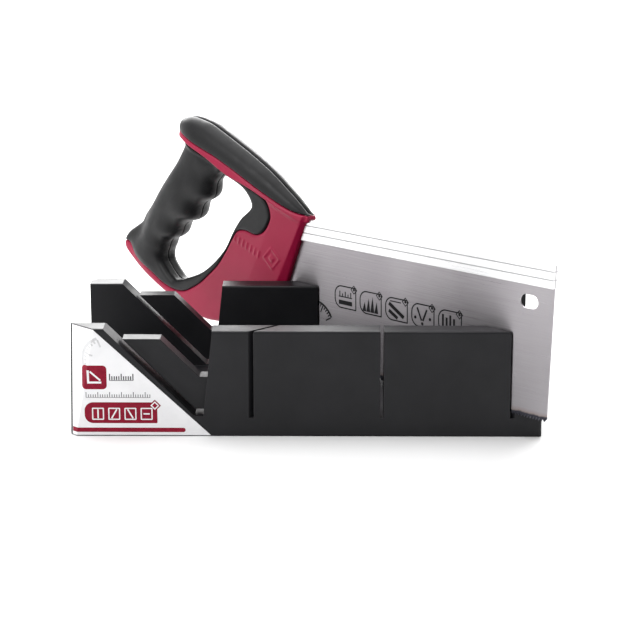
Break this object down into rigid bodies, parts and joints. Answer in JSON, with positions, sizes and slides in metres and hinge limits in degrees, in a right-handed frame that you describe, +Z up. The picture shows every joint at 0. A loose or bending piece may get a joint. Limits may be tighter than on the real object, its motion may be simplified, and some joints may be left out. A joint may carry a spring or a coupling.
{
  "type": "mitre box with back saw",
  "caption": "Black plastic mitre box with square, 45 degree and bevel kerfs, and a back saw with a two-tone closed handle standing in one kerf.",
  "frame": {"origin": "centre of the mitre box's underside, on the surface it stands on", "axes": "+X along the box's channel, away from the bevel kerf end; +Y from the near wall to the far wall, towards the saw's handle; +Z up"},
  "size_m": [0.3053, 0.2964, 0.1728],
  "materials": {
    "box_plastic": "fine matte moulded texture",
    "label_film": "printed film, satin",
    "blade_steel": "brushed along the blade, teeth darkened by hardening",
    "back_aluminium": "bright, extruded",
    "handle_plastic": "satin moulded",
    "soft_rubber": "satin soft moulding",
    "pin_steel": "plain"
  },
  "bodies": {
    "box": {"mitre_box": "box_plastic", "box_label": "label_film"},
    "saw": {"saw_blade": "blade_steel", "blade_back": "back_aluminium", "handle_shell_left": "handle_plastic", "handle_shell_right": "handle_plastic", "soft_grip_left": "soft_rubber", "soft_grip_right": "soft_rubber", "soft_cap_left": "soft_rubber", "soft_cap_right": "soft_rubber", "tang_pins": "pin_steel"}
  },
  "joints": [
    {"name": "saw_stroke", "type": "slide", "parent": "box", "child": "saw", "axis": [0.7071, -0.7071, 0], "range_m": [-0.05, 0.0015]}
  ]
}
